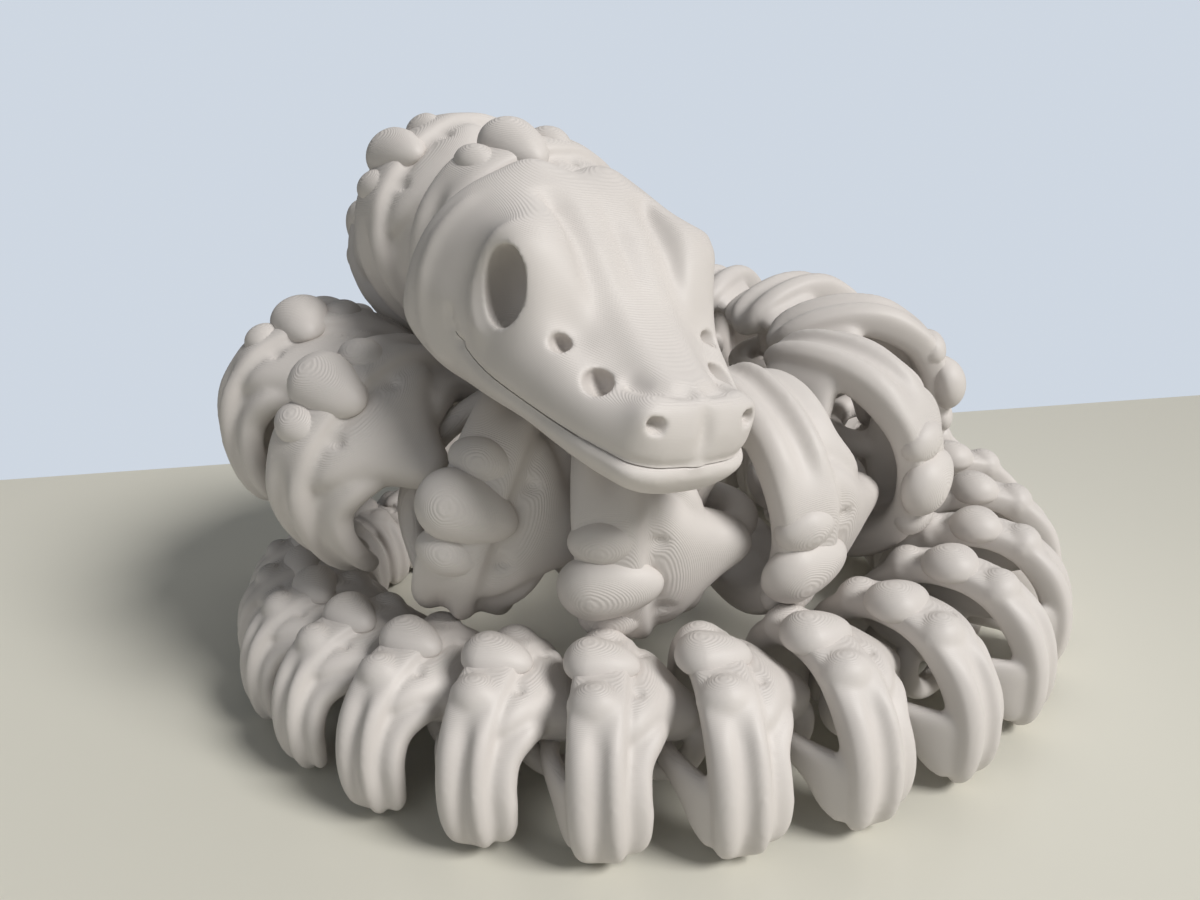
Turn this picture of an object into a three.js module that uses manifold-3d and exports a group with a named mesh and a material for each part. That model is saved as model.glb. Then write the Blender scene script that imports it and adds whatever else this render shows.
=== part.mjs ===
// A still model of a 3D-printed, print-in-place python skeleton, coiled on a table.
// Units are millimetres, +Z is up, and the origin is the middle of the bottom of the whole coil.
//
// The body is a chain of printed links. Each link has a knobbed spine, a pair of broad ribs, an
// upright ring on its head side and a cross bar on its tail side. The cross bar of each link runs
// through the ring of the link behind it, and the skull carries the last cross bar.
import * as THREE from "three";
import { mergeVertices } from "three/addons/utils/BufferGeometryUtils.js";
import Module from "manifold-3d";

// ---------- Driving dimensions of one link at scale 1 ----------
// A link's own axes: x to the head, y to its left, z from its feet to its spine.
const PITCH = 18.7; // from cross bar to ring centre
const PIVOT_HEIGHT = 14; // of the cross bar and the ring centre, above the feet
const HEAD_SIDE = PITCH / 2; // x of the ring's centre
const TAIL_SIDE = -PITCH / 2; // x of the cross bar's centre
const RIB_WIDTH = 9.7; // along the body
const RING_HOLE = 4.2; // half of its side
const RING_THICK = 4.8;
const KNOB_WIDTH = 10;
const KNOB_TOP_WIDTH = 5;
const BAR_THICK = 3.4;

// ---------- Driving dimensions of the body ----------
const RING_RADIUS = 80; // of the bottom turn, to the middle of the links
const FRONT_ANGLE = -3.6; // degrees from the front, of link 0, whose scale is 1
const TAIL_LINKS = 11; // behind link 0
const LAST_STANDING = 12; // links up to this one stand on the table
// Along the body: the number of a link from link 0, its scale in length, and its scale in girth.
const GROWTH = [
  [-11, 0.54, 0.54], [-8, 0.7, 0.7], [-4, 0.92, 0.92], [0, 1, 1], [12, 1.18, 1.16],
  [16, 1.28, 1.24], [22, 1.44, 1.3], [24, 1.44, 1.3], [33, 1.35, 1.28],
];

// ---------- Driving dimensions of the head ----------
// The head's own axes: x to the nose, y to its left, z up from the plane of the mouth.
const HEAD_BAR = { x: 5, y: 3.4, z: 5.4, radius: 2.8, reach: 10.5 };
const HEAD_SLOT = { radius: 15.5, halfWidth: 9 };
const MOUTH_GAP = 0.3;
const HEAD_NUMBER = 34; // of the head in the chain, counted from link 0
const HEAD_AIM = [0.488, -0.795, -0.361];
const HEAD_TOP = [0.321, -0.221, 0.921];
// Stations from the back to the nose: x, half width, height above the mouth, depth of the jaw.
const HEAD_STATIONS = [
  [5.2, 20.5, 19, 9], [8, 23.5, 22, 11], [14, 24, 21.5, 11], [22, 22, 19.5, 10], [30, 18.5, 17.5, 9],
  [37, 15, 13, 8], [44, 12.8, 9.5, 7.5], [52, 12, 8.5, 7], [57.5, 8.5, 5.5, 5.5],
];
const EYE = { x: 22, y: 21.5, z: 10.5, size: [6, 8, 8] };
const PITS = [
  { x: 35, y: 15.5, z: 7, size: [2.2, 3, 3] },
  { x: 43, y: 13, z: 5.2, size: [3, 3.4, 3.4] },
];
const NOSTRIL = { x: 56, y: 8, z: 5, size: [3, 1.7, 1.7] };

const material = new THREE.MeshStandardMaterial({
  name: "bone_white_print",
  color: 0xd9d3ca,
  roughness: 0.6,
  metalness: 0,
});

const wasm = await Module();
wasm.setup();

const { clamp, degToRad, lerp } = THREE.MathUtils;

// ---------- Solids ----------

function solidOf(geometry) {
  const bare = geometry.clone();
  for (const name of Object.keys(bare.attributes)) {
    if (name !== "position") bare.deleteAttribute(name);
  }
  const merged = mergeVertices(bare, 1e-4);
  return new wasm.Manifold(
    new wasm.Mesh({
      numProp: 3,
      vertProperties: new Float32Array(merged.attributes.position.array),
      triVerts: new Uint32Array(merged.index.array),
    }),
  );
}

function geometryOf(solid) {
  const mesh = solid.getMesh();
  const geometry = new THREE.BufferGeometry();
  geometry.setAttribute("position", new THREE.BufferAttribute(mesh.vertProperties, 3));
  geometry.setIndex(new THREE.BufferAttribute(mesh.triVerts, 1));
  return geometry;
}

// Moves every vertex of a geometry by a function of its place.
function reshaped(geometry, place) {
  const position = geometry.attributes.position;
  const point = new THREE.Vector3();
  for (let i = 0; i < position.count; i += 1) {
    point.fromBufferAttribute(position, i);
    place(point);
    position.setXYZ(i, point.x, point.y, point.z);
  }
  return geometry;
}

// An outline, with a hole if one is given, drawn out by 1 and centred on its own plane.
function plate(outline, hole) {
  const flat = (points) => points.map(([u, v]) => new THREE.Vector2(u, v));
  const shape = new THREE.Shape(flat(outline));
  if (hole) shape.holes.push(new THREE.Path(flat(hole)));
  return new THREE.ExtrudeGeometry(shape, { depth: 1, bevelEnabled: false }).translate(0, 0, -0.5);
}

function mirrored(half, axis) {
  return half.map(([u, v]) => (axis === 0 ? [-u, v] : [u, -v])).reverse();
}

// ---------- One link ----------

// The pair of ribs as one arch: an outline across the body, drawn out along it.
function ribArch() {
  const outer = [[15.6, 0], [18.9, 9], [17.2, 20], [8.6, 29.4]];
  const inner = [[7, 24.6], [13.4, 16], [11, 0]];
  const arch = plate([...outer, ...mirrored(outer, 0), ...mirrored(inner, 0), ...inner]);
  return solidOf(reshaped(arch, (p) => p.set(p.z * RIB_WIDTH, p.x, p.y)));
}

// The spine's knob, its slope down to the head, and the upright ring, as seen from the side.
function spineAndRing() {
  const outline = [
    [-7, 29], [-3.6, 33], [5.4, 29], [14.8, 20.8], [17.6, 13], [12.6, 6.2], [5, 6.8], [1, 14], [2, 26],
  ];
  const corners = [[-1, -1], [1, -1], [1, 1], [-1, 1]];
  const hole = corners.map(([u, v]) => [HEAD_SIDE + u * RING_HOLE, PIVOT_HEIGHT + v * RING_HOLE]);
  const side = plate(outline, hole);
  reshaped(side, (p) => {
    const [x, z, depth] = [p.x, p.y, p.z];
    const spread = lerp(RING_THICK, KNOB_WIDTH, clamp((z - 20) / 9, 0, 1));
    p.set(x, -depth * lerp(spread, KNOB_TOP_WIDTH, clamp((z - 29) / 4, 0, 1)), z);
  });
  return solidOf(side);
}

// A web runs in from the lower half of each rib to the cross bar, as seen from above.
function crossBar() {
  const outer = [[-4, 17], [TAIL_SIDE - BAR_THICK / 2, 6.8]];
  const inner = [[TAIL_SIDE + BAR_THICK / 2, 5.8], [-4, 14.4]];
  const bar = plate([...outer, ...mirrored(outer, 1), ...mirrored(inner, 1), ...inner]);
  return solidOf(bar.scale(1, 1, BAR_THICK).translate(0, 0, PIVOT_HEIGHT));
}

const linkGeometry = geometryOf(ribArch().add(spineAndRing()).add(crossBar()));

// ---------- The path of the body ----------
// Places on the line of the pivots, from the tail to the head. On the lower turn they are the
// angle from the front in degrees, the radius, the height and the lean: how far the spine leans
// out from upright, in degrees. On the upper turn they are x, y, height and lean.
const TAIL_PATH = [
  [-176, 44, 6, 0], [-156, 47, 7, 0], [-138, 53, 9, 0], [-122, 60, 10, 0], [-108, 69, 11, 0],
  [-95, 76, 12, 0],
];
const RISE_PATH = [
  [190, 80, 19, 0], [206, 81, 23, 0], [222, 82, 31, 0], [239, 80, 41, 0], [257, 77, 50, 0],
  [276, 71, 59, 5],
];
const UPPER_PATH = [
  [-72, -17, 63, 11], [-57, -35, 57, 25], [-36, -50, 51, 58], [-19, -50, 43, 92],
  [11, -52, 43, 112], [34, -41, 45, 110], [50, -26, 49, 88], [52, 4, 54, 72], [40, 26, 54, 74],
  [16, 41, 54, 85], [-9, 45, 60, 95], [-30, 38, 69, 95], [-46, 14, 87, 84], [-44, -4, 96, 58],
  [-27, -24, 97, 23], [-10, -44, 90, -2], [5, -62, 81, -20],
];
const KEY_STEP = 15; // degrees between the places on the even part of the bottom turn
const HALF_LINK = THREE.MathUtils.radToDeg(Math.asin(HEAD_SIDE / RING_RADIUS));
const START_ANGLE = FRONT_ANGLE - HALF_LINK; // where link 0's cross bar lies
const KEYS_BEFORE_START = 5;
const KEYS_AFTER_START = 12;

function onCircle(angle, radius, height) {
  const turn = degToRad(angle);
  return new THREE.Vector3(radius * Math.sin(turn), -radius * Math.cos(turn), height);
}

function pathKeys() {
  const keys = [];
  for (const [angle, radius, height, lean] of TAIL_PATH) {
    keys.push({ at: onCircle(angle, radius, height), lean });
  }
  for (let i = -KEYS_BEFORE_START; i <= KEYS_AFTER_START; i += 1) {
    keys.push({ at: onCircle(START_ANGLE + i * KEY_STEP, RING_RADIUS, PIVOT_HEIGHT), lean: 0 });
  }
  for (const [angle, radius, height, lean] of RISE_PATH) {
    keys.push({ at: onCircle(angle, radius, height), lean });
  }
  for (const [x, y, z, lean] of UPPER_PATH) {
    keys.push({ at: new THREE.Vector3(x, y, z), lean });
  }
  return keys;
}

const keys = pathKeys();
const curve = new THREE.CatmullRomCurve3(keys.map((key) => key.at), false, "centripetal");
const startOfFront = (TAIL_PATH.length + KEYS_BEFORE_START) / (keys.length - 1);

function leanAt(u) {
  const place = clamp(u, 0, 0.9999) * (keys.length - 1);
  const low = Math.floor(place);
  return lerp(keys[low].lean, keys[low + 1].lean, place - low);
}

// The scales of a link in length and in girth.
function scalesOf(number) {
  const next = Math.max(1, GROWTH.findIndex(([end]) => number <= end));
  const [[from, ...low], [to, ...high]] = [GROWTH[next - 1], GROWTH[next]];
  return low.map((value, i) => lerp(value, high[i], (number - from) / (to - from)));
}

// The next place along the curve, by its sign, that lies a given distance from a point.
function stepFrom(u, distance, sign) {
  const from = curve.getPoint(u);
  const keyStep = 1 / (keys.length - 1);
  let [near, far] = [0, 2.2 * keyStep];
  for (let i = 0; i < 40; i += 1) {
    const middle = (near + far) / 2;
    const there = curve.getPoint(clamp(u + sign * middle, 0, 1));
    if (there.distanceTo(from) < distance) near = middle;
    else far = middle;
  }
  return u + sign * near;
}

// Where each link's cross bar and ring lie, from the tip of the tail to the neck.
function linkEnds() {
  const ends = [];
  let u = startOfFront;
  for (let number = 0; number < HEAD_NUMBER; number += 1) {
    const next = stepFrom(u, PITCH * scalesOf(number)[0], 1);
    ends.push({ number, tail: u, head: next });
    u = next;
  }
  u = startOfFront;
  for (let number = -1; number >= -TAIL_LINKS; number -= 1) {
    const next = stepFrom(u, PITCH * scalesOf(number)[0], -1);
    ends.unshift({ number, tail: next, head: u });
    u = next;
  }
  return ends;
}

// A link's own axes in the coil: it lies between its two pivots and leans out from upright.
function linkMatrix({ number, tail, head }) {
  const [length, girth] = scalesOf(number);
  const [from, to] = [curve.getPoint(tail), curve.getPoint(head)];
  if (number <= LAST_STANDING) {
    from.z = PIVOT_HEIGHT * girth;
    to.z = from.z;
  }
  const lean = degToRad(leanAt((tail + head) / 2));
  const along = to.clone().sub(from).normalize();
  const out = new THREE.Vector3().crossVectors(along, new THREE.Vector3(0, 0, 1)).normalize();
  const up = new THREE.Vector3().crossVectors(out, along);
  const spine = up.multiplyScalar(Math.cos(lean)).addScaledVector(out, Math.sin(lean));
  const left = new THREE.Vector3().crossVectors(spine, along);
  const feet = from.clone().add(to).multiplyScalar(0.5).addScaledVector(spine, -PIVOT_HEIGHT * girth);
  return new THREE.Matrix4()
    .makeBasis(along, left, spine)
    .scale(new THREE.Vector3(length, girth, girth))
    .setPosition(feet);
}

// ---------- The head ----------

// A closed skin over rings of points with equal counts, from the back to the front.
function loft(rings) {
  const count = rings[0].length;
  const vertices = rings.flat(2);
  const faces = [];
  for (let r = 0; r + 1 < rings.length; r += 1) {
    for (let i = 0; i < count; i += 1) {
      const [a, b] = [r * count + i, r * count + ((i + 1) % count)];
      faces.push(a, a + count, b, b, a + count, b + count);
    }
  }
  const last = (rings.length - 1) * count;
  for (let i = 1; i + 1 < count; i += 1) {
    faces.push(0, i, i + 1, last, last + i + 1, last + i);
  }
  const geometry = new THREE.BufferGeometry();
  geometry.setAttribute("position", new THREE.Float32BufferAttribute(vertices, 3));
  geometry.setIndex(faces);
  return solidOf(geometry);
}

// Half sections above or below the mouth, flat along the mouth's plane.
function halfHead(heightOf, sign, steps) {
  const rings = HEAD_STATIONS.map((station) => {
    const [x, halfWidth] = station;
    const ring = [];
    for (let i = 0; i <= steps; i += 1) {
      const turn = Math.PI * (i / steps);
      const y = -halfWidth * Math.sign(Math.cos(turn)) * Math.abs(Math.cos(turn)) ** 0.7;
      ring.push([x, y, sign * (MOUTH_GAP / 2 + heightOf(station) * Math.sin(turn) ** 0.8)]);
    }
    return sign > 0 ? ring : ring.reverse();
  });
  return loft(rings);
}

function hollow({ x, y, z, size }, side) {
  const ball = new THREE.SphereGeometry(1, 7, 5).scale(...size);
  return solidOf(ball.translate(x, side * y, z));
}

// The slot that the last neck ring turns in, open to the back.
function neckSlot() {
  const { radius, halfWidth } = HEAD_SLOT;
  const round = new THREE.CylinderGeometry(radius, radius, 2 * halfWidth, 10);
  const back = new THREE.BoxGeometry(2 * radius, 2 * halfWidth, 2 * radius);
  return solidOf(round.translate(HEAD_BAR.x, HEAD_BAR.y, HEAD_BAR.z)).add(
    solidOf(back.translate(HEAD_BAR.x - radius, HEAD_BAR.y, HEAD_BAR.z)),
  );
}

function skullSolid() {
  let skull = halfHead(([, , height]) => height, 1, 8).subtract(neckSlot());
  for (const side of [-1, 1]) {
    for (const place of [EYE, ...PITS, NOSTRIL]) skull = skull.subtract(hollow(place, side));
  }
  const { x, y, z, radius, reach } = HEAD_BAR;
  const bar = new THREE.CylinderGeometry(radius, radius, 2 * reach, 6).translate(x, y, z);
  return skull.add(solidOf(bar));
}

function jawSolid() {
  return halfHead(([, , , depth]) => depth, -1, 6).subtract(neckSlot());
}

// The head's own axes in the coil, with its bar at the end of the neck.
function headMatrix(pivot) {
  const nose = new THREE.Vector3(...HEAD_AIM).normalize();
  const upright = new THREE.Vector3(...HEAD_TOP);
  const left = new THREE.Vector3().crossVectors(upright, nose).normalize();
  const top = new THREE.Vector3().crossVectors(nose, left);
  const turned = new THREE.Matrix4().makeBasis(nose, left, top);
  const bar = new THREE.Vector3(HEAD_BAR.x, HEAD_BAR.y, HEAD_BAR.z).applyMatrix4(turned);
  return turned.setPosition(pivot.clone().sub(bar));
}

// ---------- The model ----------

function piece(name, geometry, matrix) {
  const mesh = new THREE.Mesh(geometry, material);
  mesh.name = name;
  mesh.applyMatrix4(matrix);
  return mesh;
}

function linkName(index) {
  return `link_${String(index + 1).padStart(2, "0")}`;
}

const coil = new THREE.Group();
const ends = linkEnds();
ends.forEach((end, index) => coil.add(piece(linkName(index), linkGeometry, linkMatrix(end))));
const atHead = headMatrix(curve.getPoint(ends[ends.length - 1].head));
coil.add(piece("skull", geometryOf(skullSolid()), atHead));
coil.add(piece("lower_jaw", geometryOf(jawSolid()), atHead));

// The coil is moved so that the origin is at the middle of the bottom of its box.
const model = new THREE.Group();
model.add(coil);
model.updateMatrixWorld(true);
const box = new THREE.Box3().setFromObject(model, true);
coil.position.set(-(box.min.x + box.max.x) / 2, -(box.min.y + box.max.y) / 2, -box.min.z);

export default model;
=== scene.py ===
"""A printed python skeleton, coiled on a table, with its chain of knobbed and ribbed links."""

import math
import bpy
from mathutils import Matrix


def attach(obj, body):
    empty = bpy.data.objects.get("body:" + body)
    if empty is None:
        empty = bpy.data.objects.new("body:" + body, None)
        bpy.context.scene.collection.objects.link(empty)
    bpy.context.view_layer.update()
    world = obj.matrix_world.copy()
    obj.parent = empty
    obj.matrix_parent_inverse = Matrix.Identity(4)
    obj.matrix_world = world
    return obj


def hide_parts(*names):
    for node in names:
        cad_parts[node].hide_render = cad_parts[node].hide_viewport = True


bl_info = {
    "name": "Printed python skeleton",
    "version": (1, 0, 0),
    "blender": (4, 5, 0),
    "location": "View3D > Sidebar > Skeleton",
    "description": "Builds a coiled, print-in-place python skeleton around its packed solids",
    "category": "Object",
}

import bpy
import numpy as np
from mathutils import Matrix, Vector

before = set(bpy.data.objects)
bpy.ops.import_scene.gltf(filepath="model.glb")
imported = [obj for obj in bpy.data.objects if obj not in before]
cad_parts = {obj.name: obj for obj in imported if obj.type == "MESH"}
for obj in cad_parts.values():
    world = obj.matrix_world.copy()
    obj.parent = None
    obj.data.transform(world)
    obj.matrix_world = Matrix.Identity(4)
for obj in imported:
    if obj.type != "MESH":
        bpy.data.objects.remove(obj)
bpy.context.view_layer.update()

MM = 0.001

# ---------- One link at scale 1, in millimetres ----------
# A link's own axes: x to the head, y to its left, z from its feet to its spine.
PITCH = 18.7
PIVOT_HEIGHT = 14.0
HEAD_SIDE = PITCH / 2
RIB_HALF = 4.8
# The ring at the head side: its radius and the radius of its section.
RING_RADIUS = 6.1
RING_SECTION = 2.15
# The two dimples on the hood: x and |y|, width and depth. Only points above the height sink.
DIMPLE_X = 6.4
DIMPLE_Y = 5.6
DIMPLE_WIDTH = 0.9
DIMPLE_DEPTH = 0.7
DIMPLE_FROM = 22
# The flat that the feet stand on, and the height that the knobs shrink towards.
SOLE_HEIGHT = 0.02
KNOB_FOOT = 27
# How far apart two faces' directions may be before their edge is sharp, in degrees.
LINK_SHARP = 38
HEAD_SHARP = 70

# ---------- The path of the body ----------
# Along the body: the number of a link from link 0, its scale in length, and its scale in girth.
GROWTH = (
    (-11, 0.54, 0.54), (-8, 0.7, 0.7), (-4, 0.92, 0.92), (0, 1, 1), (12, 1.18, 1.16),
    (16, 1.28, 1.24), (22, 1.44, 1.3), (29, 1.39, 1.27), (33, 1.35, 1.2),
)
# On the lower turn: angle from the front, radius, height and lean. On the upper: x, y, height, lean.
TAIL_PATH = (
    (-176, 44, 6, 0), (-156, 47, 7, 0), (-138, 53, 9, 0), (-122, 60, 10, 0), (-108, 69, 11, 0),
    (-95, 76, 12, 0),
)
RISE_PATH = (
    (190, 80, 19, 0), (206, 81, 23, 0), (222, 82, 31, 0), (239, 80, 41, 0), (257, 77, 50, 0),
    (276, 71, 59, 5),
)
UPPER_PATH = (
    (-72, -17, 63, 11), (-57, -35, 57, 25), (-36, -50, 51, 58), (-19, -50, 43, 92),
    (11, -52, 43, 112), (34, -41, 45, 110), (50, -26, 49, 88), (52, 4, 54, 72), (40, 26, 54, 74),
    (16, 41, 54, 85), (-9, 45, 60, 95), (-30, 38, 69, 95), (-46, 14, 87, 84), (-44, -4, 96, 58),
    (-27, -24, 97, 23), (-10, -44, 90, -6), (5, -62, 81, -25),
)
# The lower turn: its radius, the angle of the middle of link 0, and its keys' step in degrees, with
# how many keys lie before and after the start of link 0.
TURN_RADIUS = 80.0
FRONT_ANGLE = -3.6
KEY_STEP = 15.0
KEYS_BEFORE_START = 5
KEYS_AFTER_START = 12
# How many links lie behind link 0, the head's number, and the last link that stands on its feet.
TAIL_LINKS = 11
HEAD_NUMBER = 34
LAST_STANDING = 12
# How a link's far end is found: the longest reach in keys, and how often the reach is halved.
LONGEST_REACH = 2.2
HALVINGS = 40
# The last place on the path that still has a key after it.
LAST_PLACE = 0.9999
# The size of the knobs along the body: the number of a link and a share of the full size.
KNOB_SHARES = ((-11, 1), (22, 1), (26, 0.94), (29, 0.86), (33, 0.94))
# The move that centres the coil on the frame's origin, in millimetres.
COIL_SHIFT = Vector((-1.278, -1.358, 0.0))

# ---------- The head's place, and its pivot in its own axes ----------
HEAD_AIM = Vector((0.505, -0.783, -0.364))
HEAD_TOP = Vector((0.321, -0.221, 0.921))
HEAD_BAR = Vector((5.0, 3.4, 5.4))
# The slot round the pivot and the cross bar in it: radius, width and number of sides.
NECK_SLOT = (15.5, 18, 64)
NECK_BAR = (2.8, 21, 32)

# ---------- The stage ----------
# The table: its size, and how far its far edge lies behind the middle and how it is turned.
TABLE_SIZE = 4.0
TABLE_EDGE = 0.124
TABLE_TURN = math.radians(7.0)
TABLE_ROUGHNESS = 0.28
DAYLIGHT = (0.86, 0.92, 1.0, 1)
DAYLIGHT_STRENGTH = 0.1
# Each lamp: its name, where its light comes from, its angle in degrees, its strength and colour.
LAMPS = (
    ("key", (0.66, -0.34, 0.67), 22, 3.1, (1.0, 0.98, 0.965)),
    ("fill", (-0.35, -0.85, 0.4), 70, 0.42, (0.95, 0.97, 1.0)),
    ("back", (0.2, 0.7, 0.8), 50, 0.4, (1.0, 0.99, 0.97)),
)
# The camera: its sensor and lens in millimetres, its nearest view in metres, and its axes and place.
SENSOR_WIDTH = 36.0
LENS = 27.03
NEAREST_VIEW = 0.005
CAMERA_RIGHT = Vector((0.99826, 0.03709, -0.04592))
CAMERA_UP = Vector((0.03094, 0.3337, 0.94217))
CAMERA_AHEAD = Vector((-0.05027, 0.94195, -0.33197))
CAMERA_PLACE = Vector((3.288, -209.318, 112.463))


# ---------- Sizes and colours a user would change ----------


class SkeletonShape(bpy.types.PropertyGroup):
    """How finely the links are made and how deep their reliefs are"""

    voxel: bpy.props.FloatProperty(
        name="Voxel", description="Cell of the remesh of one link", default=0.00055, subtype="DISTANCE"
    )
    groove: bpy.props.FloatProperty(
        name="Groove", description="Depth of the groove along a rib, in mm", default=1.0
    )
    knob_scale: bpy.props.FloatProperty(
        name="Knobs", description="Size of the spine's knobs", default=1.0, min=0.8, max=1.2
    )


class SkeletonFinish(bpy.types.PropertyGroup):
    """The printed plastic"""

    color: bpy.props.FloatVectorProperty(
        name="Colour",
        description="Colour of the matte plastic",
        default=(0.62, 0.585, 0.553),
        subtype="COLOR",
        size=3,
    )
    layer: bpy.props.FloatProperty(
        name="Layer", description="Height of one printed layer, in mm", default=0.2
    )
    roughness: bpy.props.FloatProperty(
        name="Roughness", description="Of the plastic", default=0.52, subtype="FACTOR"
    )


class SkeletonStage(bpy.types.PropertyGroup):
    """The plain floor and the backdrop"""

    floor_color: bpy.props.FloatVectorProperty(
        name="Floor",
        description="Colour of the table",
        default=(0.70, 0.685, 0.60),
        subtype="COLOR",
        size=3,
    )
    backdrop_color: bpy.props.FloatVectorProperty(
        name="Backdrop",
        description="Colour behind the table",
        default=(0.62, 0.68, 0.76),
        subtype="COLOR",
        size=3,
    )


# ---------- The path ----------


def on_circle(angle, radius, height):
    """A place round the coil's axis, at an angle in degrees from the front."""
    turn = math.radians(angle)
    return Vector((radius * math.sin(turn), -radius * math.cos(turn), height))


HALF_LINK = math.degrees(math.asin(HEAD_SIDE / TURN_RADIUS))
START_ANGLE = FRONT_ANGLE - HALF_LINK


def path_keys():
    """The path's places and leans, from the tip of the tail to the neck."""
    keys = [(on_circle(a, r, z), lean) for a, r, z, lean in TAIL_PATH]
    for i in range(-KEYS_BEFORE_START, KEYS_AFTER_START + 1):
        keys.append((on_circle(START_ANGLE + i * KEY_STEP, TURN_RADIUS, PIVOT_HEIGHT), 0))
    keys += [(on_circle(a, r, z), lean) for a, r, z, lean in RISE_PATH]
    keys += [(Vector((x, y, z)), lean) for x, y, z, lean in UPPER_PATH]
    return keys


KEYS = path_keys()
LAST_KEY = len(KEYS) - 1
START_OF_FRONT = (len(TAIL_PATH) + KEYS_BEFORE_START) / LAST_KEY


def curve_point(u):
    """A place on the centripetal curve through the keys, for u from 0 to 1."""
    place = min(max(u, 0.0), 1.0) * LAST_KEY
    low = min(int(place), LAST_KEY - 1)
    w = place - low
    b, c = KEYS[low][0], KEYS[low + 1][0]
    a = KEYS[low - 1][0] if low > 0 else b * 2 - c
    d = KEYS[low + 2][0] if low + 2 <= LAST_KEY else c * 2 - b
    s0, s1, s2 = [(q - p).length ** 0.5 for p, q in ((a, b), (b, c), (c, d))]
    t1 = ((b - a) / s0 - (c - a) / (s0 + s1) + (c - b) / s1) * s1
    t2 = ((c - b) / s1 - (d - b) / (s1 + s2) + (d - c) / s2) * s1
    return (
        b
        + t1 * w
        + (-3 * b + 3 * c - 2 * t1 - t2) * w * w
        + (2 * b - 2 * c + t1 + t2) * w * w * w
    )


def lean_at(u):
    """How far the spine leans outwards at a place on the path, in degrees."""
    place = min(max(u, 0.0), LAST_PLACE) * LAST_KEY
    low = int(place)
    return KEYS[low][1] + (KEYS[low + 1][1] - KEYS[low][1]) * (place - low)


def scales_of(number):
    """A link's scales in length and in girth."""
    for (start, *low), (end, *high) in zip(GROWTH, GROWTH[1:]):
        if number <= end:
            share = (number - start) / (end - start)
            return [a + (b - a) * share for a, b in zip(low, high)]
    return list(GROWTH[-1][1:])


def step_from(u, distance, sign):
    """The place on the path that lies a straight distance ahead of u, or behind it."""
    start = curve_point(u)
    near, far = 0.0, LONGEST_REACH / LAST_KEY
    for _ in range(HALVINGS):
        middle = (near + far) / 2
        if (curve_point(u + sign * middle) - start).length < distance:
            near = middle
        else:
            far = middle
    return u + sign * near


def link_ends():
    """Where each link's cross bar and ring lie, from the tip of the tail to the neck."""
    ends = []
    u = START_OF_FRONT
    for number in range(HEAD_NUMBER):
        ahead = step_from(u, PITCH * scales_of(number)[0], 1)
        ends.append((number, u, ahead))
        u = ahead
    u = START_OF_FRONT
    for number in range(-1, -TAIL_LINKS - 1, -1):
        behind = step_from(u, PITCH * scales_of(number)[0], -1)
        ends.insert(0, (number, behind, u))
        u = behind
    return ends


def basis(along, left, up, origin):
    """A matrix from axes and a place in millimetres to the frame in metres."""
    rows = [[a, b, c, o * MM] for a, b, c, o in zip(along, left, up, origin + COIL_SHIFT)]
    return Matrix(rows + [[0, 0, 0, 1]])


def link_matrix(number, tail, head):
    """A link's axes and the middle of its feet, from its two places on the path."""
    girth = scales_of(number)[1]
    start, end = curve_point(tail), curve_point(head)
    if number <= LAST_STANDING:
        start.z = end.z = PIVOT_HEIGHT * girth
    lean = math.radians(lean_at((tail + head) / 2))
    along = (end - start).normalized()
    out = along.cross(Vector((0, 0, 1))).normalized()
    up = out.cross(along)
    spine = up * math.cos(lean) + out * math.sin(lean)
    left = spine.cross(along)
    feet = (start + end) / 2 - spine * PIVOT_HEIGHT * girth
    return basis(along, left, spine, feet)


def head_matrix(pivot):
    """The head's axes and origin, with its cross bar at the end of the neck."""
    nose = HEAD_AIM.normalized()
    left = HEAD_TOP.cross(nose).normalized()
    top = nose.cross(left)
    origin = pivot - nose * HEAD_BAR.x - left * HEAD_BAR.y - top * HEAD_BAR.z
    return basis(nose, left, top, origin)


# ---------- Shaping ----------


def only(*pieces):
    """Selects these pieces and nothing else."""
    bpy.ops.object.select_all(action="DESELECT")
    for piece in pieces:
        piece.select_set(True)
    bpy.context.view_layer.objects.active = pieces[0]


def points_of(piece):
    flat = np.empty(len(piece.data.vertices) * 3, dtype=np.float64)
    piece.data.vertices.foreach_get("co", flat)
    return flat.reshape(-1, 3)


def set_points(piece, points):
    piece.data.vertices.foreach_set("co", points.astype(np.float32).ravel())
    piece.data.update()


def moved(points, matrix):
    """Points in a link's or the head's own axes, moved to their place in the coil."""
    m = np.array(matrix)
    return points @ m[:3, :3].T + m[:3, 3]


def ball(name, segments, rings):
    """A ball of radius 1, which the functions below shape."""
    bpy.ops.object.select_all(action="DESELECT")
    bpy.ops.mesh.primitive_uv_sphere_add(segments=segments, ring_count=rings, radius=1.0)
    piece = bpy.context.object
    piece.name = name
    return piece


def apply_modifier(piece, kind, **values):
    only(piece)
    modifier = piece.modifiers.new(kind.lower(), kind)
    for key, value in values.items():
        setattr(modifier, key, value)
    bpy.ops.object.modifier_apply(modifier=modifier.name)


def joined(pieces):
    only(*pieces)
    bpy.ops.object.join()
    return bpy.context.object


def united(piece, other, operation="UNION"):
    """Adds the other solid to a piece, or cuts it away, and removes the other."""
    apply_modifier(piece, "BOOLEAN", object=other, operation=operation, solver="MANIFOLD")
    bpy.data.objects.remove(other)
    return piece


def recalculated(piece):
    """Merges doubles and turns the faces outwards."""
    only(piece)
    bpy.ops.object.mode_set(mode="EDIT")
    bpy.ops.mesh.select_all(action="SELECT")
    bpy.ops.mesh.remove_doubles(threshold=1e-7)
    bpy.ops.mesh.normals_make_consistent(inside=False)
    bpy.ops.object.mode_set(mode="OBJECT")
    return piece


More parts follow.
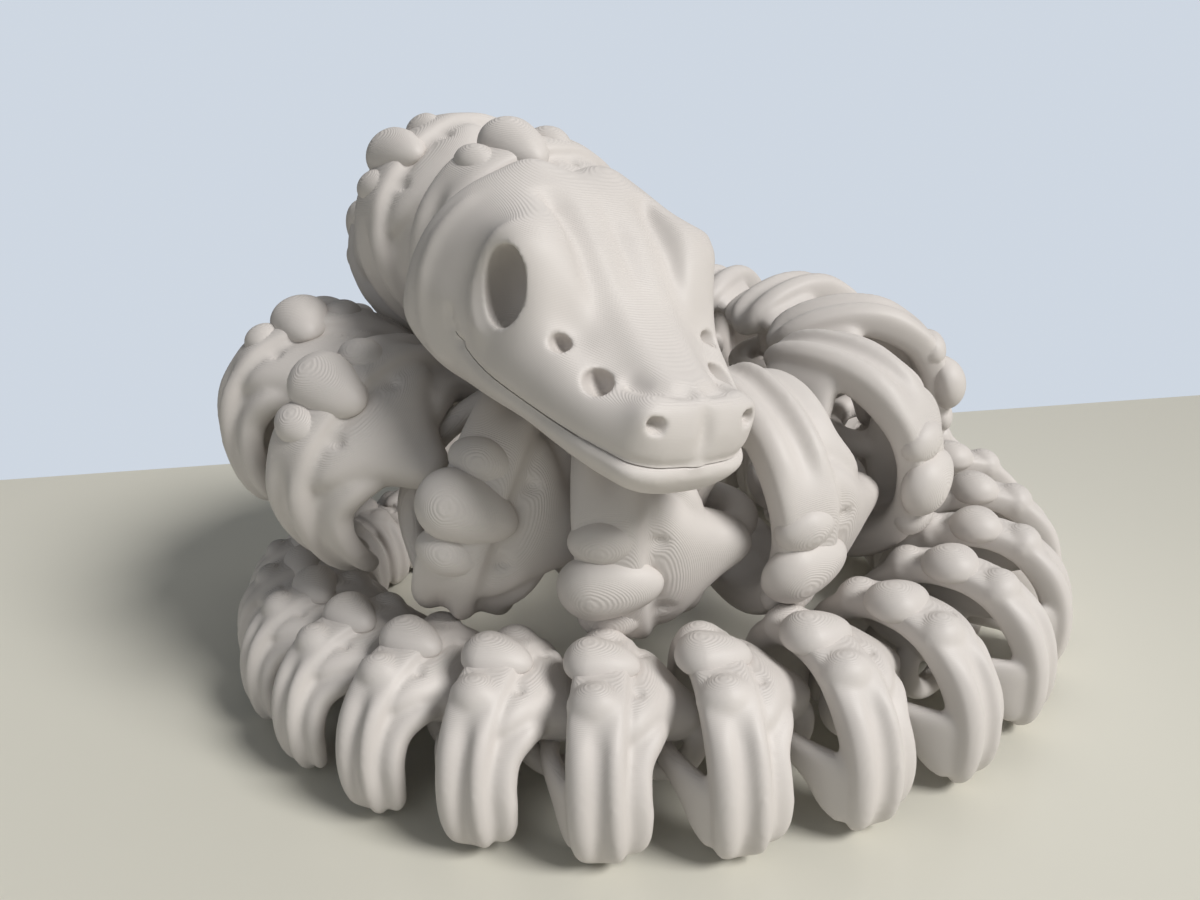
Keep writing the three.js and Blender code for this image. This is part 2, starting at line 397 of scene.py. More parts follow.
def soften(piece, voxel, passes):
    """One smooth skin over the pieces, with fillets where they meet."""
    apply_modifier(piece, "REMESH", mode="VOXEL", voxel_size=voxel, adaptivity=0.0)
    apply_modifier(piece, "SMOOTH", factor=0.5, iterations=passes)
    return piece


def power(values, exponent):
    """The power of the values' sizes, with their signs kept."""
    return np.sign(values) * np.abs(values) ** exponent


def gauss(values, centre, width):
    """A bell over the values: 1 at the centre, falling to 0 on both sides."""
    return np.exp(-(((values - centre) / width) ** 2))


def read_off(x, rows):
    """The value at x, from rows of x and value with straight lines between them."""
    rows = np.asarray(rows)
    return np.interp(x, rows[:, 0], rows[:, 1])


def smooth_keys(keys, t):
    """Rows of keys, read at t from 0 to 1 with smooth turns between them."""
    keys = np.asarray(keys, dtype=np.float64)
    place = np.clip(t, 0, 1) * (len(keys) - 1)
    low = np.clip(place.astype(int), 0, len(keys) - 2)
    w = (place - low)[:, None]
    b, c = keys[low], keys[low + 1]
    a = np.where((low > 0)[:, None], keys[np.maximum(low - 1, 0)], 2 * b - c)
    last = len(keys) - 1
    d = np.where((low + 2 <= last)[:, None], keys[np.minimum(low + 2, last)], 2 * c - b)
    return 0.5 * (
        2 * b + (c - a) * w + (2 * a - 5 * b + 4 * c - d) * w**2 + (3 * b - a - 3 * c + d) * w**3
    )


def drawn(name, keys, side, segments=32, rings=48, blunt=6.0, relief=None, square=0.75):
    """A bar drawn along keys of x, y, z, half width and half thickness.

    side gives the axis that the half width lies along. relief moves the skin along the bar.
    """
    piece = ball(name, segments, rings)
    unit = points_of(piece)
    t = np.arccos(np.clip(unit[:, 2], -1, 1)) / math.pi
    turn = np.arctan2(unit[:, 1], unit[:, 0])
    rows = smooth_keys(keys, t)
    step = 1e-3
    ahead = smooth_keys(keys, np.clip(t + step, 0, 1))[:, :3]
    behind = smooth_keys(keys, np.clip(t - step, 0, 1))[:, :3]
    along = ahead - behind
    along /= np.linalg.norm(along, axis=1)[:, None]
    side = np.asarray(side, dtype=np.float64)
    out = np.cross(along, side[None, :])
    out /= np.linalg.norm(out, axis=1)[:, None]
    across = np.cross(out, along)
    end = np.clip(1 - np.abs(2 * t - 1) ** blunt, 0, 1) ** (1 / 2)
    a = rows[:, 3] * power(np.cos(turn), square) * end
    b = rows[:, 4] * power(np.sin(turn), square) * end
    if relief is not None:
        a, b = relief(t, a, b)
    points = rows[:, :3] + across * a[:, None] + out * b[:, None]
    set_points(piece, points * MM)
    return recalculated(piece)


# ---------- One link ----------

# From the left foot over the spine to the right foot: y, z, half width and half thickness.
RIB_KEYS = (
    (13.0, 0.9, 2.9, 2.1), (15.0, 4.8, 4.4, 2.5), (16.0, 9.6, 4.8, 2.6), (15.5, 15.5, 4.8, 2.7),
    (13.4, 20.6, 4.8, 2.8), (9.2, 25.2, 4.8, 2.7), (4.5, 27.2, 4.7, 2.4), (0, 27.6, 4.7, 2.3),
)
# Along the hood from the spine to the ring: x, z, half width and half height.
HOOD_KEYS = (
    (3.0, 22.8, 13.0, 5.4), (6.0, 22.0, 11.8, 5.6), (8.6, 20.8, 8.6, 5.2), (10.8, 19.6, 5.8, 4.8),
    (12.8, 18.3, 4.0, 4.6), (14.8, 16.6, 2.8, 4.0),
)
# The wall behind the left rib, from its foot up and over to the ring: x, y, z, half width and
# half thickness.
SKIRT_KEYS = (
    (3.9, 13.4, 2.2, 1.2, 1.2), (5.2, 14.6, 5.4, 2.7, 1.6), (5.9, 15.0, 10, 2.9, 1.8),
    (5.9, 14.4, 14.6, 2.8, 2.0), (6.1, 12.2, 18.4, 2.8, 2.2), (7.4, 8.6, 20.8, 3.4, 2.4),
    (10.4, 3.6, 20.4, 3.0, 2.6),
)
# The web from the left rib to the cross bar: x, y, z, half height and half thickness.
WEB_KEYS = (
    (-2.4, 16.4, 8.8, 6.8, 1.7), (-4.6, 13.8, 10.2, 6.1, 1.7), (-6.6, 10.6, 12.2, 4.0, 1.7),
    (-8.3, 7.4, 13.6, 2.6, 1.7), (-9.3, 4.2, 14.0, 2.0, 1.7), (-9.35, 0.0, 14.0, 1.8, 1.7),
)
# Across a rib's outer face: each ridge's place, height and width, and the groove's place and width.
RIDGES = ((-2.5, 0.45, 1.5), (3.1, 0.5, 1.3))
GROOVE = (0.5, 1.25)


def mirrored_keys(keys, column):
    """The keys from one end to the middle, followed by their mirror on the other side."""
    back = []
    for row in reversed(keys[:-1]):
        row = list(row)
        row[column] = -row[column]
        back.append(tuple(row))
    return tuple(keys) + tuple(back)


def rib_relief(depth):
    """Two ridges with a groove between them, along the outer face of a rib."""

    def relief(t, a, b):
        down = np.abs(2 * t - 1)
        start = np.clip((down - 0.3) / 0.13, 0, 1) * np.clip((0.97 - down) / 0.13, 0, 1)
        start = start * start * (3 - 2 * start)
        rise = sum(height * gauss(a, x, width) for x, height, width in RIDGES)
        cut = depth * gauss(a, *GROOVE)
        return a, np.where(b > 0, b + start * (rise - cut), b)

    return relief


def link_body(shape, extras):
    """A link's rib, hood, side walls, web and ring under one skin, with any extra pieces."""
    rib_keys = [(0.0, *row) for row in mirrored_keys(RIB_KEYS, 0)]
    rib = drawn(
        "rib", rib_keys, (1, 0, 0), segments=96, rings=140, blunt=24.0, relief=rib_relief(shape.groove),
        square=0.5,
    )
    hood_keys = [(x, 0.0, z, w, h) for x, z, w, h in HOOD_KEYS]
    hood = drawn("hood", hood_keys, (0, 1, 0), blunt=10.0, square=0.9)
    parts = [rib, hood, *extras]
    for sign in (1, -1):
        skirt = [(x, sign * y, z, w, h) for x, y, z, w, h in SKIRT_KEYS]
        parts.append(drawn("skirt", skirt, (1, 0, 0), blunt=6.0))
        web = [(x, sign * y, z, h, w) for x, y, z, h, w in WEB_KEYS]
        parts.append(drawn("web", web, (0, 0, 1), blunt=24.0))
    bpy.ops.object.select_all(action="DESELECT")
    bpy.ops.mesh.primitive_torus_add(
        major_segments=56, minor_segments=24, major_radius=RING_RADIUS * MM,
        minor_radius=RING_SECTION * MM, rotation=(math.pi / 2, 0, 0),
        location=(HEAD_SIDE * MM, 0, PIVOT_HEIGHT * MM),
    )
    ring = bpy.context.object
    bpy.ops.object.transform_apply(location=True, rotation=True, scale=True)
    parts.append(ring)
    body = joined(parts)
    body.name = "link_body"
    soften(body, shape.voxel, 4)
    p = points_of(body) / MM
    ahead = (p[:, 0] - DIMPLE_X) / DIMPLE_WIDTH
    aside = (np.abs(p[:, 1]) - DIMPLE_Y) / DIMPLE_WIDTH
    dimple = np.exp(-(ahead**2) - aside**2)
    p[:, 2] -= DIMPLE_DEPTH * dimple * np.clip((p[:, 2] - DIMPLE_FROM) / 2, 0, 1)
    p[:, 2] = np.maximum(p[:, 2], SOLE_HEIGHT)
    set_points(body, p * MM)
    return body


def egg(name, centre, tail, head, width, up, down, segments=40, rings=28):
    """An egg along x: longer to the head than to the tail, higher above than below."""
    piece = ball(name, segments, rings)
    p = points_of(piece)[:, [2, 1, 0]]
    p[:, 0] = -p[:, 0]
    size = np.stack(
        [
            np.where(p[:, 0] > 0, head, tail),
            np.full(len(p), width) * (1 - 0.12 * np.clip(p[:, 0], 0, 1)),
            np.where(p[:, 2] > 0, up, down),
        ],
        axis=1,
    )
    q = p * size
    q[:, 2] -= 0.1 * np.clip(q[:, 0], 0, None)
    set_points(piece, (q + np.asarray(centre)) * MM)
    return recalculated(piece)


def spine_knob(k):
    """The large knob on the spine, k times its size."""
    return egg("spine_knob", (-2.0, 0, 29.0), 4.6 * k, 8.4 * k, 5.0 * k, 4.0, 2.6)


def rib_knobs(k):
    """The pair of small knobs beside the spine, each clear in its outline."""
    return [
        egg("rib_knob", (-0.5, sign * 6.5, 27.7), 4.3 * k, 4.2 * k, 3.4 * k, 2.8, 3.4, 32, 22)
        for sign in (1, -1)
    ]


def rib_heads(k):
    """The same knobs where they flow into the ridges of the ribs."""
    return [
        egg("rib_head", (-0.2, sign * 8.4, 26.2), 4.9 * k, 4.8 * k, 3.9 * k, 4.0, 3.7, 32, 22)
        for sign in (1, -1)
    ]


def copied(piece, name):
    """A copy of a piece, with a mesh of its own."""
    twin = bpy.data.objects.new(name, piece.data.copy())
    bpy.context.collection.objects.link(twin)
    return twin


def placed(piece, matrix, length, girth):
    """Scales a link's mesh, keeps its ribs slim, and sets it in the coil."""
    p = points_of(piece) / MM
    x = p[:, 0]
    near = np.clip(np.abs(x) / RIB_HALF, 0, 1)
    beyond = np.clip((np.abs(x) - RIB_HALF) / (HEAD_SIDE - RIB_HALF), 0, None)
    at_rib = RIB_HALF * girth
    at_ring = HEAD_SIDE * length
    stretched = near * at_rib + beyond * (at_ring - at_rib)
    q = np.stack([np.sign(x) * stretched, p[:, 1] * girth, p[:, 2] * girth], axis=1) * MM
    set_points(piece, moved(q, matrix))


def scaled_knob(piece, matrix, length, girth, share):
    """Sets a knob on its link, shrunk towards its foot by its share of the full size."""
    p = points_of(piece)
    foot = (p.min(axis=0) + p.max(axis=0)) / 2
    foot[2] = KNOB_FOOT * MM
    q = (foot + (p - foot) * share) * np.array([length, girth, girth])
    set_points(piece, moved(q, matrix))


def mark_print(piece, matrix):
    """Stores how high each point was above the bed when printed, in millimetres, and how level it is."""
    m = np.array(matrix)
    up = m[:3, 2] / np.linalg.norm(m[:3, 2])
    heights = (points_of(piece) - m[:3, 3]) @ up / MM
    normals = np.empty(len(piece.data.vertices) * 3)
    piece.data.vertex_normals.foreach_get("vector", normals)
    level = np.abs(normals.reshape(-1, 3) @ up)
    for name, values in (("print_height", heights), ("print_level", level)):
        layer = piece.data.attributes.new(name, "FLOAT", "POINT")
        layer.data.foreach_set("value", values.astype(np.float32))


def finished(piece, material, sharp, *nodes):
    """Shades a piece, with edges over the angle sharp, and lets it stand for its nodes."""
    only(piece)
    bpy.ops.object.shade_smooth_by_angle(angle=math.radians(sharp))
    piece.data.materials.clear()
    piece.data.materials.append(material)
    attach(piece, "root")
    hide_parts(*nodes)


# ---------- The head ----------

# From the back to the nose: x, half width, top, depth of the jaw, squareness of the section.
HEAD_STATIONS = (
    (-1.0, 24.4, 21.6, 10.4, 0.85), (3, 26, 23.2, 11.8, 0.82), (8, 25.9, 23.7, 13.2, 0.8),
    (14, 24.4, 22.9, 14, 0.72), (20, 22.4, 20.9, 12.8, 0.62), (26, 21.2, 18.4, 11.3, 0.56),
    (31, 20.2, 15.6, 10.3, 0.62), (36, 19, 12.8, 9.7, 0.78), (42, 17.4, 10.6, 9.4, 0.84),
    (48, 15.2, 9.2, 9.1, 0.82), (52.6, 12.9, 8.8, 8.6, 0.74), (55.4, 11.1, 7.6, 8, 0.72),
    (57.2, 8.2, 4.8, 6.9, 0.72), (57.9, 5.4, 2.4, 5.3, 0.75),
)
HEAD_VOXEL = 0.00038
# The mouth: where its line ends at the rear, how wide the slit is, and the cutting sheet's size.
MOUTH_REAR = 19.2
MOUTH_SLIT = 0.28
MOUTH_SHEET = (50, 60)
# The height of the mouth's line along the head: x and z.
MOUTH_SAG = (
    (0, -0.6), (MOUTH_REAR, -0.6), (20.4, -1.4), (22, -2.1), (24.5, -2.7), (28, -3), (37, -2.5),
    (46, -1.9), (52.6, -1.5), (60, -1.5),
)


def near_line(u, v, line, width):
    """How near places are to a bent line, from 0 to 1."""
    best = np.full(len(u), 1e9)
    for (a, b), (c, d) in zip(line, line[1:]):
        span = np.array([c - a, d - b])
        share = np.clip(((u - a) * span[0] + (v - b) * span[1]) / (span @ span), 0, 1)
        best = np.minimum(best, np.hypot(u - a - share * span[0], v - b - share * span[1]))
    return np.exp(-((best / width) ** 2))


# Swells and hollows of the skin: place x, |y|, z; size; and move outwards and upwards.
SKULL_SWELLS = (
    ((24, 13, 18), (8, 5, 6), (0.4, 2.0)),
    ((25, 17.5, 16), (8, 5, 5), (2.4, 1.7)),
    ((3, 7.5, 22), (6, 4.2, 6), (0.4, 1.1)),
    ((2, 0, 22), (6, 2.8, 6), (0, -1.6)),
    ((31, 18, 1), (7, 5, 4), (0.6, 0)),
    ((36.5, 12.5, 10.5), (4.5, 3.5, 4), (-0.6, -2.1)),
    ((44.5, 11.5, 8.5), (5, 3.5, 4), (-0.5, -1.5)),
    ((54.6, 8.6, 5.4), (3, 3, 3), (1.0, 0.9)),
    ((17, 23, 3), (7, 5, 3.5), (0.6, 0)),
)
# The groove along the top of each side: x with its |y|, its depth, and its spread outwards.
GROOVE_PLACE = ((13, 10), (20, 8.7), (28, 8.5), (36, 8.1), (44, 8.0), (50, 7.6))
GROOVE_DEPTH = ((13, 0), (17, 1.9), (28, 2.1), (35, 1.2), (48, 1.2), (51, 0.4), (52, 0))
GROOVE_SPREAD = ((13, 1.5), (30, 1.6), (37, 3.4), (52, 3.0))
# The groove's bend inwards behind the nose: x and |y|.
NOSE_HOOK = ((47, 7.9), (50.6, 6.8), (52.4, 4.2), (52.8, 1.8))
# The ridge down the cheek, and the fold at the mouth's corner: x and z.
CHEEK_RIDGE = ((9, 17), (9, 11), (9.6, 6), (11, 1), (13, -4), (16, -7))
MOUTH_HOOK = ((MOUTH_REAR + 1.6, -1.7), (MOUTH_REAR, -0.6), (18.2, 0.8), (17.7, 2.6))
# The oval that the rim behind the eye lies round: x, z, half length and half height.
EYE_RIM = (27.0, 11.4, 4.7, 6.6)


def head_skin():
    """The outer skin of skull and jaw, with its swells, grooves, ridges and lips."""
    piece = ball("head_skin", 200, 160)
    unit = points_of(piece)
    t = np.arccos(np.clip(-unit[:, 2], -1, 1)) / math.pi
    turn = np.arctan2(unit[:, 1], unit[:, 0])
    rows = smooth_keys(HEAD_STATIONS, t)
    end = np.clip(1 - np.abs(2 * t - 1) ** 14, 0, 1) ** 0.5
    square = rows[:, 4]
    x = rows[:, 0]
    y = rows[:, 1] * power(np.cos(turn), square) * end
    up = rows[:, 2] * power(np.sin(turn), square + 0.1)
    down = rows[:, 3] * power(np.sin(turn), 0.62)
    z = np.where(np.sin(turn) > 0, up, down) * end
    side = np.abs(y)
    outward = np.zeros_like(x)
    upward = np.zeros_like(x)
    for (cx, cy, cz), (rx, ry, rz), (dy, dz) in SKULL_SWELLS:
        share = gauss(x, cx, rx) * gauss(side, cy, ry) * gauss(z, cz, rz)
        outward += dy * share
        upward += dz * share
    on_top = np.clip((z - 3) / 3, 0, 1)
    beyond = side - read_off(x, GROOVE_PLACE)
    groove = gauss(beyond, 0, np.where(beyond > 0, read_off(x, GROOVE_SPREAD), 2.6))
    upward -= read_off(x, GROOVE_DEPTH) * groove * on_top
    upward -= 1.3 * near_line(x, side, NOSE_HOOK, 1.3) * on_top
    valley = gauss(y, 0, 2.8) * np.clip((x - 15) / 8, 0, 1) * np.clip((35 - x) / 6, 0, 1)
    upward -= 1.2 * valley * on_top
    on_side = np.clip((side - 12) / 4, 0, 1)
    outward += 0.7 * near_line(x, z, CHEEK_RIDGE, 1.5) * on_side
    rim_x, rim_z, half_x, half_z = EYE_RIM
    around = np.hypot((x - rim_x) / half_x, (z - rim_z) / half_z)
    outward += 0.9 * gauss(around, 1.3, 0.24) * np.clip((rim_x + 1 - x) / 3, 0, 1) * on_side
    outward -= 1.0 * near_line(x, z, MOUTH_HOOK, 0.6) * on_side
    above = z - read_off(x, MOUTH_SAG)
    lip = gauss(above, 0, 0.8) * np.clip((x - MOUTH_REAR) / 2, 0, 1)
    outward -= 0.75 * lip * np.clip((side - 3) / 3, 0, 1)
    front = np.clip((x - 52) / 4, 0, 1)
    below = np.clip(-above / 0.4, 0, 1) * np.clip((above + 6) / 4, 0, 1)
    outward += 0.6 * below * np.clip((x - 40) / 10, 0, 1) * np.clip((side - 3) / 3, 0, 1)
    x = x - 1.2 * front * gauss(y, 0, 1.2) * gauss(z, 4.2, 3.2) - 0.5 * lip * front + 0.8 * below * front
    y = y + np.sign(y) * outward
    z = z + upward
    set_points(piece, np.stack([x, y, z], axis=1) * MM)
    return recalculated(piece)


def hollow(name, centre, size, tilt, rise, turn):
    """A blunt ball to cut with. It is tilted about the head's width, then turned up and forwards."""
    piece = ball(name, 40, 26)
    p = points_of(piece)[:, [0, 2, 1]] * (1, -1, 1)
    p[:, 1] = power(p[:, 1], 0.6)
    p *= np.asarray(size)
    c, s = math.cos(tilt), math.sin(tilt)
    p = p @ np.array([[c, 0, s], [0, 1, 0], [-s, 0, c]])
    side = math.copysign(1, centre[1])
    c, s = math.cos(rise), math.sin(rise) * side
    p = p @ np.array([[1, 0, 0], [0, c, s], [0, -s, c]])
    c, s = math.cos(turn), math.sin(turn) * side
    p = p @ np.array([[c, -s, 0], [s, c, 0], [0, 0, 1]])
    set_points(piece, (p + np.asarray(centre)) * MM)
    return recalculated(piece)


# The eye socket and the two pits of one side: x, z, sizes, depth of the centre under the skin, and
# the tilt, rise and turn in radians.
HOLLOWS = (
    (27, 11.6, (4, 10, 6.3), -0.6, 0.3, 0.3, 0.5),
    (37.2, 8, (1.7, 5, 1.5), 0.2, -0.45, 0.5, 0.5),
    (45.3, 6.2, (2.5, 6, 2.1), 0.2, -0.45, 0.5, 0.5),
)
# The nostril of one side, straight in its axes: x, |y|, z and sizes.
NOSTRIL = (56.3, 8.6, 5.2, (2.6, 1.4, 1.3))


def side_at(head, x, z):
    """How far the skin lies out from the middle at a place on the head's side, in millimetres."""
    p = points_of(head) / MM
    near = np.hypot(p[:, 0] - x, p[:, 2] - z) < 1.0
    return np.abs(p[near, 1]).max()


def head_body():
    """The head with its hollows, the slot and cross bar for the neck, and the line of the mouth."""
    head = soften(head_skin(), HEAD_VOXEL, 4)
    cuts = [(x, side_at(head, x, z) - sink, z, size, *angles) for x, z, size, sink, *angles in HOLLOWS]
    cuts.append((*NOSTRIL, 0.0, 0.0, 0.0))
    for x, y, z, *form in cuts:
        for sign in (1, -1):
            head = united(head, hollow("hollow", (x, sign * y, z), *form), "DIFFERENCE")
    head = soften(head, HEAD_VOXEL, 7)
    head = united(head, cylinder("neck_slot", *NECK_SLOT), "DIFFERENCE")
    head = united(head, cylinder("neck_bar", *NECK_BAR))
    return united(head, mouth_sheet(), "DIFFERENCE")


def mouth_sheet():
    """A thin bent sheet along the mouth's line, to cut the lips apart."""
    bpy.ops.object.select_all(action="DESELECT")
    bpy.ops.mesh.primitive_grid_add(x_subdivisions=60, y_subdivisions=4, size=1.0)
    sheet = bpy.context.object
    p = points_of(sheet)
    length, width = MOUTH_SHEET
    x = MOUTH_REAR + (p[:, 0] + 0.5) * length
    set_points(sheet, np.stack([x, p[:, 1] * width, read_off(x, MOUTH_SAG)], axis=1) * MM)
    apply_modifier(sheet, "SOLIDIFY", thickness=MOUTH_SLIT * MM, offset=0.0)
    return recalculated(sheet)


def cylinder(name, radius, depth, vertices):
    """A cylinder across the head, round the pivot of the neck."""
    bpy.ops.object.select_all(action="DESELECT")
    bpy.ops.mesh.primitive_cylinder_add(
        vertices=vertices, radius=radius * MM, depth=depth * MM, rotation=(math.pi / 2, 0, 0),
        location=HEAD_BAR * MM,
    )
    piece = bpy.context.object
    piece.name = name
    bpy.ops.object.transform_apply(location=True, rotation=True, scale=True)
    return piece


# ---------- Materials ----------


def print_layers_group():
    """Fine printed layer lines, from a height in millimetres to a bump's height."""
    group = bpy.data.node_groups.new("print_layers", "ShaderNodeTree")
    group.interface.new_socket("Height", in_out="INPUT", socket_type="NodeSocketFloat")
    group.interface.new_socket("Layer", in_out="INPUT", socket_type="NodeSocketFloat")
    group.interface.new_socket("Lines", in_out="OUTPUT", socket_type="NodeSocketFloat")
    nodes, links = group.nodes, group.links
    entry = nodes.new("NodeGroupInput")
    leave = nodes.new("NodeGroupOutput")
    share = nodes.new("ShaderNodeMath")
    share.operation = "DIVIDE"
    turn = nodes.new("ShaderNodeMath")
    turn.operation = "MULTIPLY"
    turn.inputs[1].default_value = 2 * math.pi
    wave = nodes.new("ShaderNodeMath")
    wave.operation = "SINE"
    links.new(entry.outputs["Height"], share.inputs[0])
    links.new(entry.outputs["Layer"], share.inputs[1])
    links.new(share.outputs[0], turn.inputs[0])
    links.new(turn.outputs[0], wave.inputs[0])
    links.new(wave.outputs[0], leave.inputs["Lines"])
    return group


def plastic(finish):
    """The matte plastic of every printed piece, made once."""
    if "printed_plastic" in bpy.data.materials:
        return bpy.data.materials["printed_plastic"]
    material = bpy.data.materials.new("printed_plastic")
    material.use_nodes = True
    nodes, links = material.node_tree.nodes, material.node_tree.links
    shader = nodes["Principled BSDF"]
    shader.inputs["Roughness"].default_value = finish.roughness
    shader.inputs["Specular IOR Level"].default_value = 0.42
    where = nodes.new("ShaderNodeTexCoord")
    tone = nodes.new("ShaderNodeTexNoise")
    tone.inputs["Scale"].default_value = 60.0
    tone.inputs["Detail"].default_value = 3.0
    links.new(where.outputs["Object"], tone.inputs["Vector"])
    ramp = nodes.new("ShaderNodeValToRGB")
    ramp.color_ramp.elements[0].position = 0.3
    ramp.color_ramp.elements[1].position = 0.7
    base = Vector(finish.color)
    ramp.color_ramp.elements[0].color = (*(base * 0.96), 1)
    ramp.color_ramp.elements[1].color = (*(base * 1.03), 1)
    links.new(tone.outputs["Fac"], ramp.inputs["Fac"])
    links.new(ramp.outputs["Color"], shader.inputs["Base Color"])
    height = nodes.new("ShaderNodeAttribute")
    height.attribute_name = "print_height"
    layers = nodes.new("ShaderNodeGroup")
    layers.node_tree = print_layers_group()
    layers.inputs["Layer"].default_value = finish.layer
    links.new(height.outputs["Fac"], layers.inputs["Height"])
    level = nodes.new("ShaderNodeAttribute")
    level.attribute_name = "print_level"
    show = nodes.new("ShaderNodeMapRange")
    show.inputs["From Min"].default_value = 0.7
    show.inputs["From Max"].default_value = 1.0
    show.inputs["To Min"].default_value = 0.12
    show.inputs["To Max"].default_value = 1.0
    links.new(level.outputs["Fac"], show.inputs["Value"])
    depth = nodes.new("ShaderNodeMath")
    depth.operation = "MULTIPLY"
    links.new(layers.outputs["Lines"], depth.inputs[0])
    links.new(show.outputs["Result"], depth.inputs[1])
    bump = nodes.new("ShaderNodeBump")
    bump.inputs["Strength"].default_value = 0.5
    bump.inputs["Distance"].default_value = 0.00006
    links.new(depth.outputs[0], bump.inputs["Height"])
    links.new(bump.outputs["Normal"], shader.inputs["Normal"])
    return material


def plain(name, color, roughness):
    """A material of one colour, for the stage."""
    material = bpy.data.materials.new(name)
    material.use_nodes = True
    shader = material.node_tree.nodes["Principled BSDF"]
    shader.inputs["Base Color"].default_value = (*color, 1)
    shader.inputs["Roughness"].default_value = roughness
    return material


# ---------- The stage's pieces ----------


def add_floor(color):
    """The table, whose far edge lies behind the coil."""
    bpy.ops.object.select_all(action="DESELECT")
    bpy.ops.mesh.primitive_plane_add(size=TABLE_SIZE, location=(0, TABLE_EDGE - TABLE_SIZE / 2, 0))
    floor = bpy.context.object
    floor.name = "floor"
    bpy.ops.object.transform_apply(location=True, rotation=True, scale=True)
    floor.rotation_euler = (0, 0, TABLE_TURN)
    bpy.ops.object.transform_apply(location=True, rotation=True, scale=True)
    floor.data.materials.append(plain("floor_paint", color, TABLE_ROUGHNESS))


def add_daylight(scene, color):
    """A faint light from all round, and the backdrop's colour behind everything."""
    world = scene.world or bpy.data.worlds.new("studio")
    scene.world = world
    world.use_nodes = True
    nodes, links = world.node_tree.nodes, world.node_tree.links
    daylight = nodes["Background"]
    daylight.inputs["Color"].default_value = DAYLIGHT
    daylight.inputs["Strength"].default_value = DAYLIGHT_STRENGTH
    backdrop = nodes.new("ShaderNodeBackground")
    backdrop.inputs["Color"].default_value = (*color, 1)
    path = nodes.new("ShaderNodeLightPath")
    choice = nodes.new("ShaderNodeMixShader")
    links.new(path.outputs["Is Camera Ray"], choice.inputs["Fac"])
    links.new(daylight.outputs["Background"], choice.inputs[1])
    links.new(backdrop.outputs["Background"], choice.inputs[2])
    links.new(choice.outputs["Shader"], nodes["World Output"].inputs["Surface"])


def add_lamps(scene):
    for name, source, angle, strength, color in LAMPS:
        lamp = bpy.data.lights.new(name, "SUN")
        lamp.angle = math.radians(angle)
        lamp.energy = strength
        lamp.color = color
        light = bpy.data.objects.new(name, lamp)
        scene.collection.objects.link(light)
        light.rotation_euler = (-Vector(source)).to_track_quat("-Z", "Y").to_euler()


def add_camera(scene):
    data = bpy.data.cameras.new("camera")
    data.sensor_width = SENSOR_WIDTH
    data.lens = LENS
    data.clip_start = NEAREST_VIEW
    camera = bpy.data.objects.new("camera", data)
    scene.collection.objects.link(camera)
    place = (CAMERA_PLACE + COIL_SHIFT) * MM
    rows = [[a, b, c, o] for a, b, c, o in zip(CAMERA_RIGHT, CAMERA_UP, -CAMERA_AHEAD, place)]
    camera.matrix_world = Matrix(rows + [[0, 0, 0, 1]])
    scene.camera = camera


# ---------- Operators ----------


class SKELETON_OT_links(bpy.types.Operator):
    """Models one link and sets a copy of it at each place of the chain"""

    bl_idname = "skeleton.links"
    bl_label = "Links"

    def execute(self, context):
        shape = context.scene.skeleton_shape
        material = plastic(context.scene.skeleton_finish)
        big = spine_knob(shape.knob_scale)
        smalls = rib_knobs(shape.knob_scale)
        upper = link_body(shape, [])
        lower = link_body(shape, rib_heads(shape.knob_scale))
        for index, (number, tail, head) in enumerate(link_ends()):
            node = f"link_{index + 1:02d}"
            length, girth = scales_of(number)
            matrix = link_matrix(number, tail, head)
            standing = number <= LAST_STANDING
            piece = copied(lower if standing else upper, f"printed_{node}")
            placed(piece, matrix, length, girth)
            share = float(read_off(number, KNOB_SHARES))
            for knob in (big,) if standing else (*smalls, big):
                twin = copied(knob, "knob")
                scaled_knob(twin, matrix, length, girth, share)
                piece = united(piece, twin)
            mark_print(piece, matrix)
            finished(piece, material, LINK_SHARP, node)
        for base in (upper, lower, big, *smalls):
            bpy.data.objects.remove(base)
        return {"FINISHED"}


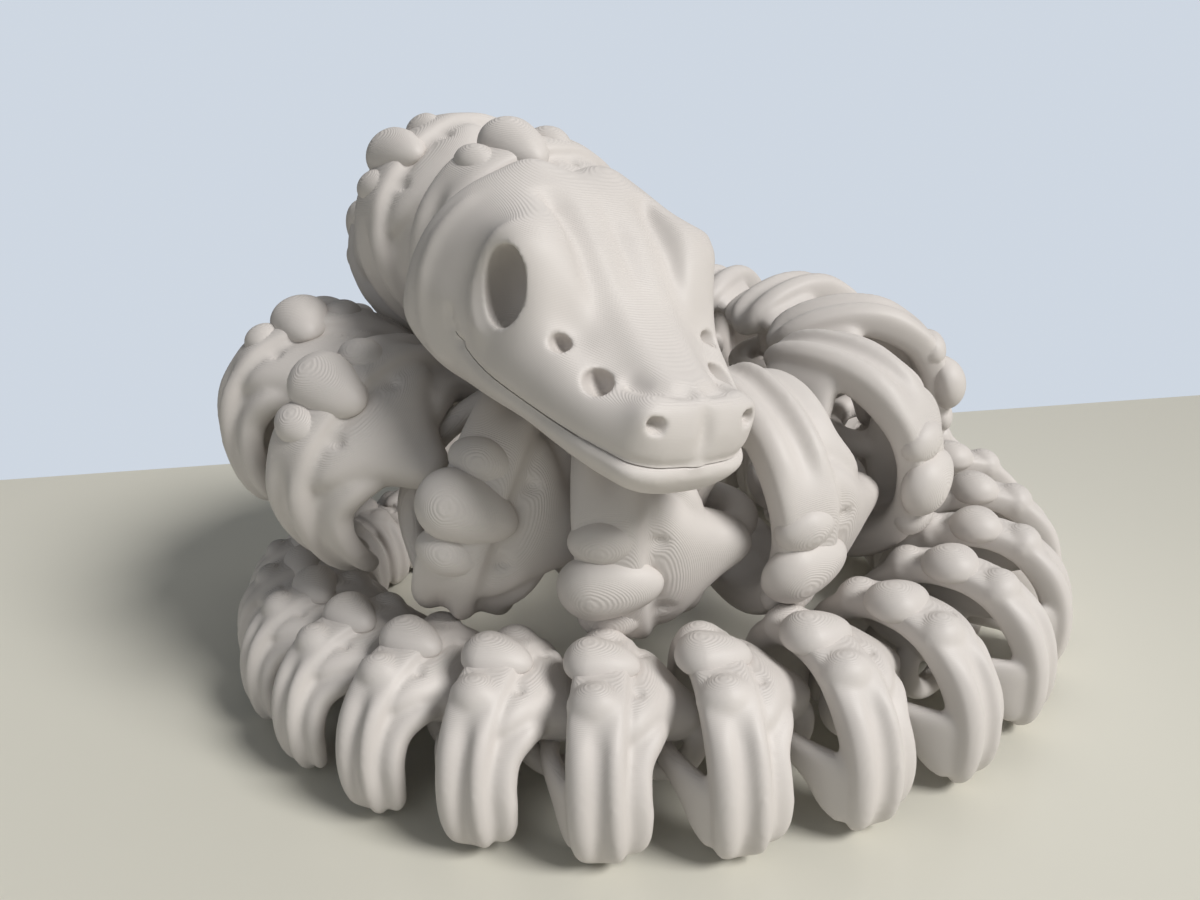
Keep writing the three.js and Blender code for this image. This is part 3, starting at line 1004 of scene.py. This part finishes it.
class SKELETON_OT_head(bpy.types.Operator):
    """Models the skull with its sockets, pits, nostrils and the line of the mouth"""

    bl_idname = "skeleton.head"
    bl_label = "Head"

    def execute(self, context):
        neck_end = link_ends()[-1][2]
        matrix = head_matrix(curve_point(neck_end))
        skull = head_body()
        skull.name = "printed_head"
        set_points(skull, moved(points_of(skull), matrix))
        mark_print(skull, matrix)
        finished(skull, plastic(context.scene.skeleton_finish), HEAD_SHARP, "skull", "lower_jaw")
        return {"FINISHED"}


class SKELETON_OT_stage(bpy.types.Operator):
    """Adds the floor, the soft lights and the camera"""

    bl_idname = "skeleton.stage"
    bl_label = "Stage"

    def execute(self, context):
        scene = context.scene
        add_floor(scene.skeleton_stage.floor_color)
        add_daylight(scene, scene.skeleton_stage.backdrop_color)
        add_lamps(scene)
        add_camera(scene)
        scene.view_settings.view_transform = "Standard"
        return {"FINISHED"}


class SKELETON_PT_panel(bpy.types.Panel):
    """Lists the steps that build the skeleton"""

    bl_label = "Printed python skeleton"
    bl_idname = "SKELETON_PT_panel"
    bl_space_type = "VIEW_3D"
    bl_region_type = "UI"
    bl_category = "Skeleton"

    def draw(self, context):
        for name in ("skeleton.links", "skeleton.head", "skeleton.stage"):
            self.layout.operator(name)


CLASSES = (
    SkeletonShape,
    SkeletonFinish,
    SkeletonStage,
    SKELETON_OT_links,
    SKELETON_OT_head,
    SKELETON_OT_stage,
    SKELETON_PT_panel,
)


def register():
    for entry in CLASSES:
        bpy.utils.register_class(entry)
    bpy.types.Scene.skeleton_shape = bpy.props.PointerProperty(type=SkeletonShape)
    bpy.types.Scene.skeleton_finish = bpy.props.PointerProperty(type=SkeletonFinish)
    bpy.types.Scene.skeleton_stage = bpy.props.PointerProperty(type=SkeletonStage)


def unregister():
    del bpy.types.Scene.skeleton_stage
    del bpy.types.Scene.skeleton_finish
    del bpy.types.Scene.skeleton_shape
    for entry in reversed(CLASSES):
        bpy.utils.unregister_class(entry)


def main():
    register()
    bpy.ops.skeleton.links()
    bpy.ops.skeleton.head()
    bpy.ops.skeleton.stage()


if __name__ == "__main__":
    main()
